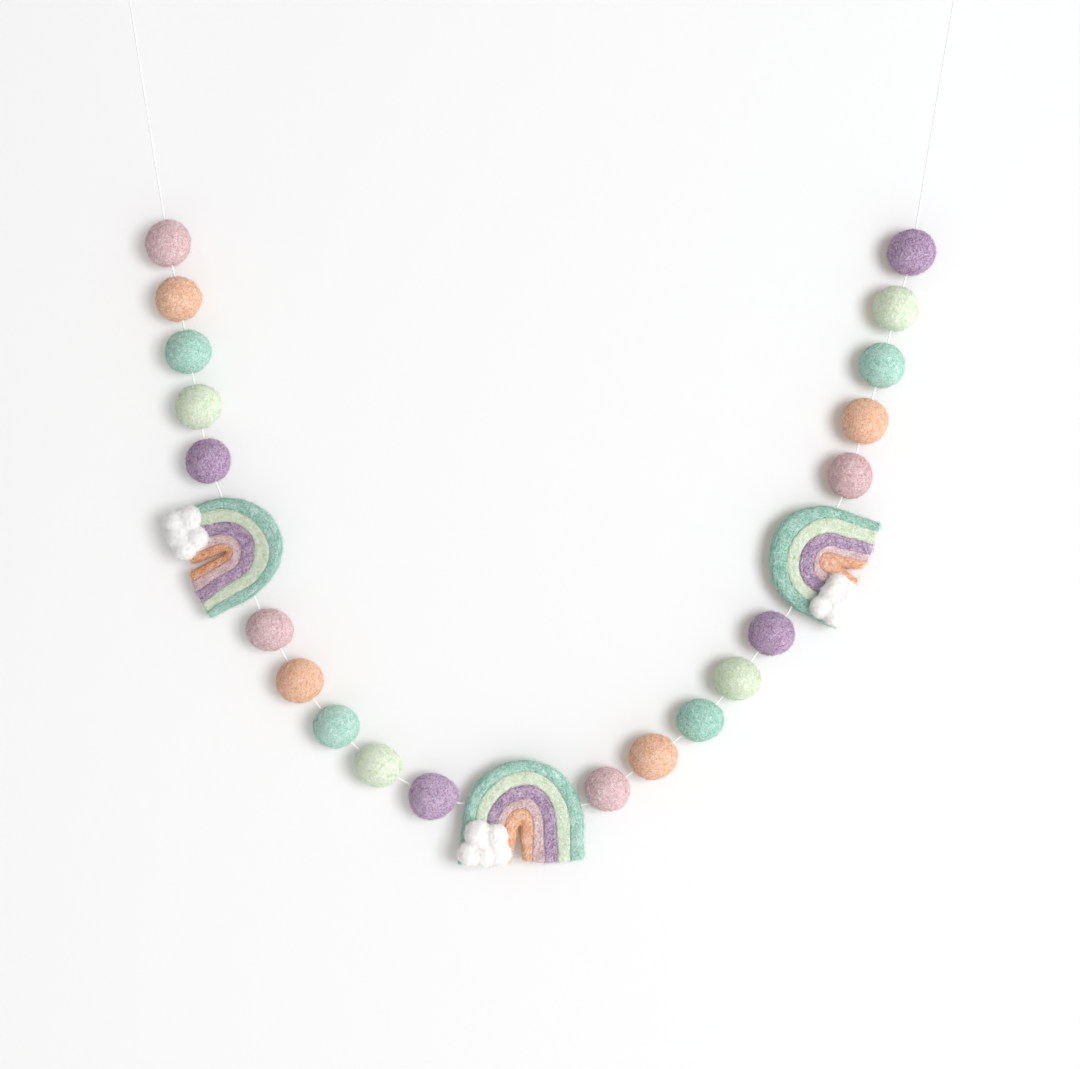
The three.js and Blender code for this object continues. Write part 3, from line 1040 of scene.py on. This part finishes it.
class GARLAND_OT_clouds(bpy.types.Operator):
    """Adds the white cloud on the front of each rainbow's left foot"""

    bl_idname = "garland.clouds"
    bl_label = "Clouds"

    def execute(self, context):
        for number, rainbow in enumerate(RAINBOWS, start=1):
            name = f"{rainbow.name}_cloud"
            seed = CLOUD_SEEDS + number
            bm = self.puff(name, rainbow, context)
            for _ in range(SOFTENING_ROUNDS):
                bmesh.ops.smooth_vert(
                    bm,
                    verts=bm.verts,
                    factor=SMOOTHING,
                    use_axis_x=True,
                    use_axis_y=True,
                    use_axis_z=True,
                )
            for _ in range(CREASE_ROUNDS):
                bmesh.ops.smooth_vert(bm, verts=bm.verts, factor=SMOOTHING, use_axis_y=True)
            relief(bm, CLOUD_BUMPS, seed)
            felt_piece(name, bm, "white", False, seed)
        return {"FINISHED"}

    @staticmethod
    def puff(name, rainbow, context):
        """The cloud's lobes, flat at the back, melted into one closed skin."""
        sizes = context.scene.garland_sizes
        lobe_depth = 0.0128
        swell = 0.0006
        back = -sizes.band_thickness / 2 + sizes.nap
        front = -sizes.band_thickness / 2 - sizes.cloud_depth
        turn = Matrix.Rotation(-math.radians(rainbow.turn), 4, "Y")
        hang = Matrix.Translation((rainbow.x, 0, rainbow.z)) @ turn
        bm = bmesh.new()
        for lobe in rainbow.cloud:
            centre = Vector((lobe.x, front + lobe_depth / 2, lobe.z))
            size = Matrix.Diagonal((lobe.radius + swell, lobe_depth / 2, lobe.radius + swell, 1))
            place = hang @ Matrix.Translation(centre) @ size
            bmesh.ops.create_icosphere(bm, subdivisions=LOBE_SUBDIVISIONS, radius=1, matrix=place)
        whole = [*bm.verts, *bm.edges, *bm.faces]
        cut = bmesh.ops.bisect_plane(
            bm, geom=whole, plane_co=(0, back, 0), plane_no=(0, 1, 0), clear_outer=True
        )
        rims = [part for part in cut["geom_cut"] if isinstance(part, bmesh.types.BMEdge)]
        bmesh.ops.holes_fill(bm, edges=rims)
        mesh = bpy.data.meshes.new(name)
        bm.to_mesh(mesh)
        bm.free()
        lump = bpy.data.objects.new(f"{name}_lobes", mesh)
        context.scene.collection.objects.link(lump)
        melt = lump.modifiers.new("melt", "REMESH")
        melt.mode = "VOXEL"
        melt.voxel_size = CLOUD_VOXEL
        shown = lump.evaluated_get(context.evaluated_depsgraph_get())
        melted = bmesh.new()
        melted.from_mesh(shown.data)
        bpy.data.objects.remove(lump)
        return melted


class GARLAND_OT_stage(bpy.types.Operator):
    """Adds the wall and floor, a window for the garland, a softbox for the wall and the room's light"""

    bl_idname = "garland.stage"
    bl_label = "Wall, floor and light"

    def execute(self, context):
        bright = bpy.data.collections.new("in_full_light")
        shaded = bpy.data.collections.new("in_less_light")
        for piece in context.scene.objects:
            if piece.type == "MESH":
                group = shaded if piece.name.startswith(SHADED_RAINBOW) else bright
                group.objects.link(piece)
        backdrop = bpy.data.collections.new("backdrop")
        backdrop.objects.link(self.add_wall())
        window = (1.7, -1.63, -0.31)
        daylight = (1, 0.995, 0.99)
        softbox = (1.3, -2.65, -0.31)
        cool_light = (0.98, 0.99, 1)
        self.add_light("window", window, size=1.9, power=53, colour=daylight, receivers=bright)
        self.add_light("window_shaded", window, size=1.9, power=39, colour=daylight, receivers=shaded)
        self.add_light("softbox", softbox, size=1.1, power=60.5, colour=cool_light, receivers=backdrop)
        world = bpy.data.worlds.new("room")
        world.use_nodes = True
        room = world.node_tree.nodes["Background"]
        room.inputs["Color"].default_value = (1, 0.992, 0.98, 1)
        room.inputs["Strength"].default_value = 0.42
        context.scene.world = world
        context.scene.view_settings.view_transform = "Standard"
        return {"FINISHED"}

    @staticmethod
    def add_wall():
        """The wall just behind the balls, curved at its foot into the floor."""
        wall_y = 0.0132
        wall_top = 1.2
        floor_z = -1.1
        cove = 0.25
        floor_front = -2.2
        left, right = -1.8, 2.2
        cove_steps = 12
        bm = bmesh.new()
        profile = [Vector((left, wall_y, wall_top))]
        for step in range(cove_steps + 1):
            angle = math.pi / 2 * step / cove_steps
            y = wall_y - cove * (1 - math.cos(angle))
            profile.append(Vector((left, y, floor_z + cove * (1 - math.sin(angle)))))
        profile.append(Vector((left, floor_front, floor_z)))
        verts = [bm.verts.new(point) for point in profile]
        rails = [bm.edges.new(pair) for pair in zip(verts, verts[1:])]
        swept = bmesh.ops.extrude_edge_only(bm, edges=rails)
        moved = [part for part in swept["geom"] if isinstance(part, bmesh.types.BMVert)]
        bmesh.ops.translate(bm, verts=moved, vec=(right - left, 0, 0))
        bm.normal_update()
        if bm.faces[:][0].normal.y > 0:
            bmesh.ops.reverse_faces(bm, faces=bm.faces)
        wall = add_piece("wall", bm, wall_material())
        wall.visible_shadow = False
        return wall

    @staticmethod
    def add_light(name, place, size, power, colour, receivers):
        """A wide soft light that faces the middle of the garland and lights only the receivers."""
        data = bpy.data.lights.new(name, "AREA")
        data.size = size
        data.energy = power
        data.color = colour
        light = bpy.data.objects.new(name, data)
        light.location = place
        light.rotation_euler = (VIEW_MIDDLE - Vector(place)).to_track_quat("-Z", "Y").to_euler()
        light.light_linking.receiver_collection = receivers
        bpy.context.scene.collection.objects.link(light)


def wall_material():
    """A pale backdrop that gives off a faint painted fill light, weaker and warmer to the right, so that
    the shadows there stay darker and browner. Its colour turns lighter and bluer to the right to keep the
    lit wall even. Seen from behind it is clear.
    """
    # The emission is painted fill light that lightens the wall's shadows, weaker and warmer to the right.
    # The colour ramp beside it is lighter and bluer there to keep the lit wall even.
    colour_levelling_light_left, colour_levelling_light_right = (0.685, 0.685, 0.69, 1), (0.745, 0.79, 0.815, 1)
    painted_fill_light_left, painted_fill_light_right = (0.175, 0.17, 0.16, 1), (0.08, 0.03, 0, 1)
    fade_from, fade_to = 0.02, 0.42
    material = bpy.data.materials.new("wall_paint")
    material.use_nodes = True
    material.cycles.emission_sampling = "NONE"
    tree = material.node_tree
    place = add_node(tree, "ShaderNodeTexCoord").outputs["Object"]
    across = add_node(tree, "ShaderNodeSeparateXYZ", {"Vector": place}).outputs["X"]
    share = add_node(
        tree, "ShaderNodeMapRange", {"Value": across, "From Min": fade_from, "From Max": fade_to}
    ).outputs["Result"]
    colour_levelling_light = add_node(tree, "ShaderNodeValToRGB", {"Fac": share})
    colour_levelling_light.color_ramp.elements[0].color = colour_levelling_light_left
    colour_levelling_light.color_ramp.elements[1].color = colour_levelling_light_right
    painted_fill_light = add_node(tree, "ShaderNodeValToRGB", {"Fac": share})
    painted_fill_light.color_ramp.elements[0].color = painted_fill_light_left
    painted_fill_light.color_ramp.elements[1].color = painted_fill_light_right
    shader = tree.nodes["Principled BSDF"]
    shader.inputs["Emission Strength"].default_value = 1
    shader.inputs["Roughness"].default_value = 0.9
    shader.inputs["Specular IOR Level"].default_value = 0.1
    tree.links.new(colour_levelling_light.outputs["Color"], shader.inputs["Base Color"])
    tree.links.new(painted_fill_light.outputs["Color"], shader.inputs["Emission Color"])
    side = add_node(tree, "ShaderNodeNewGeometry").outputs["Backfacing"]
    clear = add_node(tree, "ShaderNodeBsdfTransparent").outputs["BSDF"]
    both = add_node(tree, "ShaderNodeMixShader", {0: side, 1: shader.outputs["BSDF"], 2: clear})
    tree.links.new(both.outputs["Shader"], tree.nodes["Material Output"].inputs["Surface"])
    return material


OPERATORS = (
    GARLAND_OT_camera,
    GARLAND_OT_string,
    GARLAND_OT_balls,
    GARLAND_OT_rainbows,
    GARLAND_OT_clouds,
    GARLAND_OT_stage,
)


class GARLAND_PT_pieces(bpy.types.Panel):
    """Lists the garland's sizes, colours and pieces in the sidebar"""

    bl_idname = "GARLAND_PT_pieces"
    bl_label = "Felt ball garland"
    bl_space_type = "VIEW_3D"
    bl_region_type = "UI"
    bl_category = "Garland"

    def draw(self, context):
        for group in (context.scene.garland_sizes, context.scene.garland_colours):
            for key in group.__annotations__:
                self.layout.prop(group, key)
        for operator in OPERATORS:
            self.layout.operator(operator.bl_idname)


CLASSES = (GarlandSizes, GarlandColours, *OPERATORS, GARLAND_PT_pieces)


def register():
    """Registers the classes and gives the scene its sizes and colours."""
    for cls in CLASSES:
        bpy.utils.register_class(cls)
    bpy.types.Scene.garland_sizes = bpy.props.PointerProperty(type=GarlandSizes)
    bpy.types.Scene.garland_colours = bpy.props.PointerProperty(type=GarlandColours)


def unregister():
    """Takes away what register added."""
    del bpy.types.Scene.garland_colours
    del bpy.types.Scene.garland_sizes
    for cls in reversed(CLASSES):
        bpy.utils.unregister_class(cls)


def main():
    """Builds the garland."""
    register()
    for operator in OPERATORS:
        group, action = operator.bl_idname.split(".")
        getattr(getattr(bpy.ops, group), action)()


if __name__ == "__main__":
    main()
